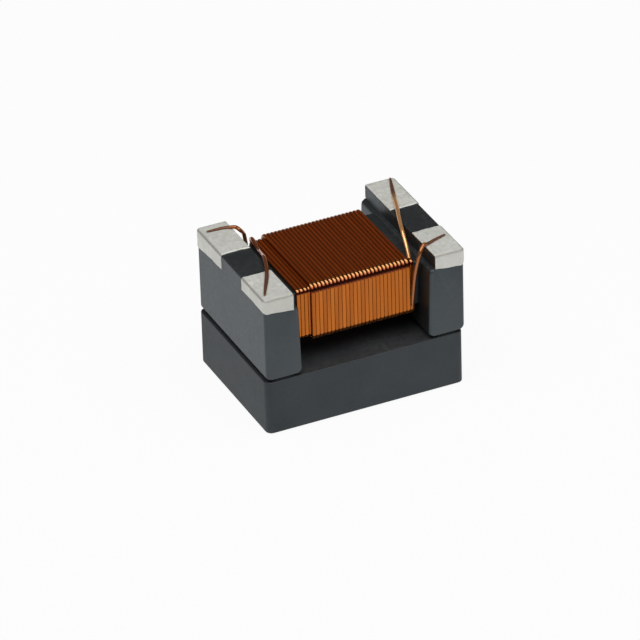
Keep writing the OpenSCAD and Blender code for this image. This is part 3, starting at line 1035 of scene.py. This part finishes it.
class CHOKE_OT_windings(bpy.types.Operator):
    """Winds both wires about the bar and lays their leads on the terminals."""

    bl_idname = "choke.windings"
    bl_label = "Windings"

    def execute(self, context):
        size = in_mm(context.scene.choke_core, context.scene.choke_wire)
        look = context.scene.choke_finishes
        material = enamelled_copper(look)
        lay = winding_lay(size)
        leads = lead_routes(size, lay)
        lower = wound_layer(size, lay, lay.lower_x, lay.lower_lift, 1)
        upper = wound_layer(size, lay, lay.upper_x, lay.upper_lift, 2)
        paths = {
            "inner": wire_path(leads["back_left"], lower, leads["back_right"]),
            "outer": wire_path(leads["front_left"], upper, leads["front_right"]),
        }
        # Share of painted highlight on each wire's right lead
        bright = {"inner": look.lower_lead_highlight, "outer": look.upper_lead_highlight}
        for name, path in paths.items():
            wire, values = wire_shell(size, lay, path, box_mm("winding_" + name)[1, 2], bright[name])
            piece = put_mesh("wire_" + name, [wire], values)
            finish_piece(piece, material, "winding_" + name)
        return {"FINISHED"}


class CHOKE_OT_stage(bpy.types.Operator):
    """Sets the floor, the softbox, the dim room and the camera."""

    bl_idname = "choke.stage"
    bl_label = "Stage"

    def execute(self, context):
        scene, stage = context.scene, context.scene.choke_stage
        scene.view_settings.view_transform = "Standard"
        self.lay_floor(scene, stage)
        self.hang_light(scene, stage)
        self.set_camera(scene, stage)
        return {"FINISHED"}

    @staticmethod
    def lay_floor(scene, stage):
        """A wide flat floor just under the plate."""
        mesh = bpy.data.meshes.new("floor")
        half, drop = stage.floor_half, stage.floor_drop
        corners = [(x * half, y * half, -drop) for x, y in ((-1, -1), (1, -1), (1, 1), (-1, 1))]
        mesh.from_pydata(corners, [], [(0, 1, 2, 3)])
        mesh.materials.append(floor_finish(stage))
        floor = bpy.data.objects.new("floor", mesh)
        scene.collection.objects.link(floor)

    @staticmethod
    def hang_light(scene, stage):
        """One wide softbox above, a little towards the camera, and a dim room."""
        lamp = bpy.data.lights.new("softbox", "AREA")
        lamp.shape = "RECTANGLE"
        lamp.size, lamp.size_y = stage.softbox_w, stage.softbox_d
        lamp.energy = stage.softbox_power
        softbox = bpy.data.objects.new("softbox", lamp)
        softbox.rotation_euler.z = stage.azimuth
        ahead = Vector((np.sin(stage.azimuth), -np.cos(stage.azimuth), 0)) * stage.softbox_ahead
        softbox.location = ahead + Vector((0, 0, stage.softbox_z))
        softbox.visible_camera = False
        scene.collection.objects.link(softbox)
        world = bpy.data.worlds.new("room")
        world.use_nodes = True
        world.node_tree.nodes["Background"].inputs["Color"].default_value = opaque(stage.room)
        scene.world = world

    @staticmethod
    def set_camera(scene, stage):
        """The camera looks along the azimuth and elevation at a point a little above the plate's middle."""
        ce, se = np.cos(stage.elevation), np.sin(stage.elevation)
        back = np.array([np.sin(stage.azimuth) * ce, -np.cos(stage.azimuth) * ce, se])
        level = unit(np.cross(UP, back))
        rise = np.cross(back, level)
        right = np.cos(stage.roll) * level + np.sin(stage.roll) * rise
        up = np.cross(back, right)
        aim = stage.aim_right * right + stage.aim_up * up
        data = bpy.data.cameras.new("camera")
        data.sensor_width = SENSOR_MM
        data.lens = stage.lens
        data.clip_start = 0.001
        data.clip_end = 10.0
        camera = bpy.data.objects.new("camera", data)
        turned = Matrix((right, up, back)).transposed().to_4x4()
        camera.matrix_world = Matrix.Translation(Vector(aim + back * stage.distance)) @ turned
        scene.collection.objects.link(camera)
        scene.camera = camera


class CHOKE_PT_panel(bpy.types.Panel):
    """Lists the choke's pieces, sizes and finishes in the sidebar."""

    bl_idname = "CHOKE_PT_panel"
    bl_label = "Common Mode Choke"
    bl_space_type = "VIEW_3D"
    bl_region_type = "UI"
    bl_category = "Choke"

    def draw(self, context):
        for operator in OPERATORS:
            self.layout.operator(operator.bl_idname)
        for key in SETTINGS:
            group = getattr(context.scene, key)
            column = self.layout.column(heading=key)
            for prop in group.bl_rna.properties:
                if prop.identifier not in ("rna_type", "name"):
                    column.prop(group, prop.identifier)


SETTINGS = {
    "choke_core": ChokeCoreSizes,
    "choke_wire": ChokeWireSizes,
    "choke_terminals": ChokeTerminalSizes,
    "choke_finishes": ChokeFinishes,
    "choke_stage": ChokeStage,
}
OPERATORS = (
    CHOKE_OT_drum_core,
    CHOKE_OT_cover_plate,
    CHOKE_OT_glue_films,
    CHOKE_OT_terminals,
    CHOKE_OT_windings,
    CHOKE_OT_stage,
)


def register():
    """Registers the settings, the operators and the panel."""
    for key, group in SETTINGS.items():
        bpy.utils.register_class(group)
        setattr(bpy.types.Scene, key, bpy.props.PointerProperty(type=group))
    for cls in (*OPERATORS, CHOKE_PT_panel):
        bpy.utils.register_class(cls)


def unregister():
    """Takes everything back out."""
    for cls in (CHOKE_PT_panel, *OPERATORS[::-1]):
        bpy.utils.unregister_class(cls)
    for key, group in SETTINGS.items():
        delattr(bpy.types.Scene, key)
        bpy.utils.unregister_class(group)


def main():
    """Builds every piece and the stage."""
    register()
    bpy.ops.choke.drum_core()
    bpy.ops.choke.cover_plate()
    bpy.ops.choke.glue_films()
    bpy.ops.choke.terminals()
    bpy.ops.choke.windings()
    bpy.ops.choke.stage()
    bpy.context.view_layer.update()


if __name__ == "__main__":
    main()
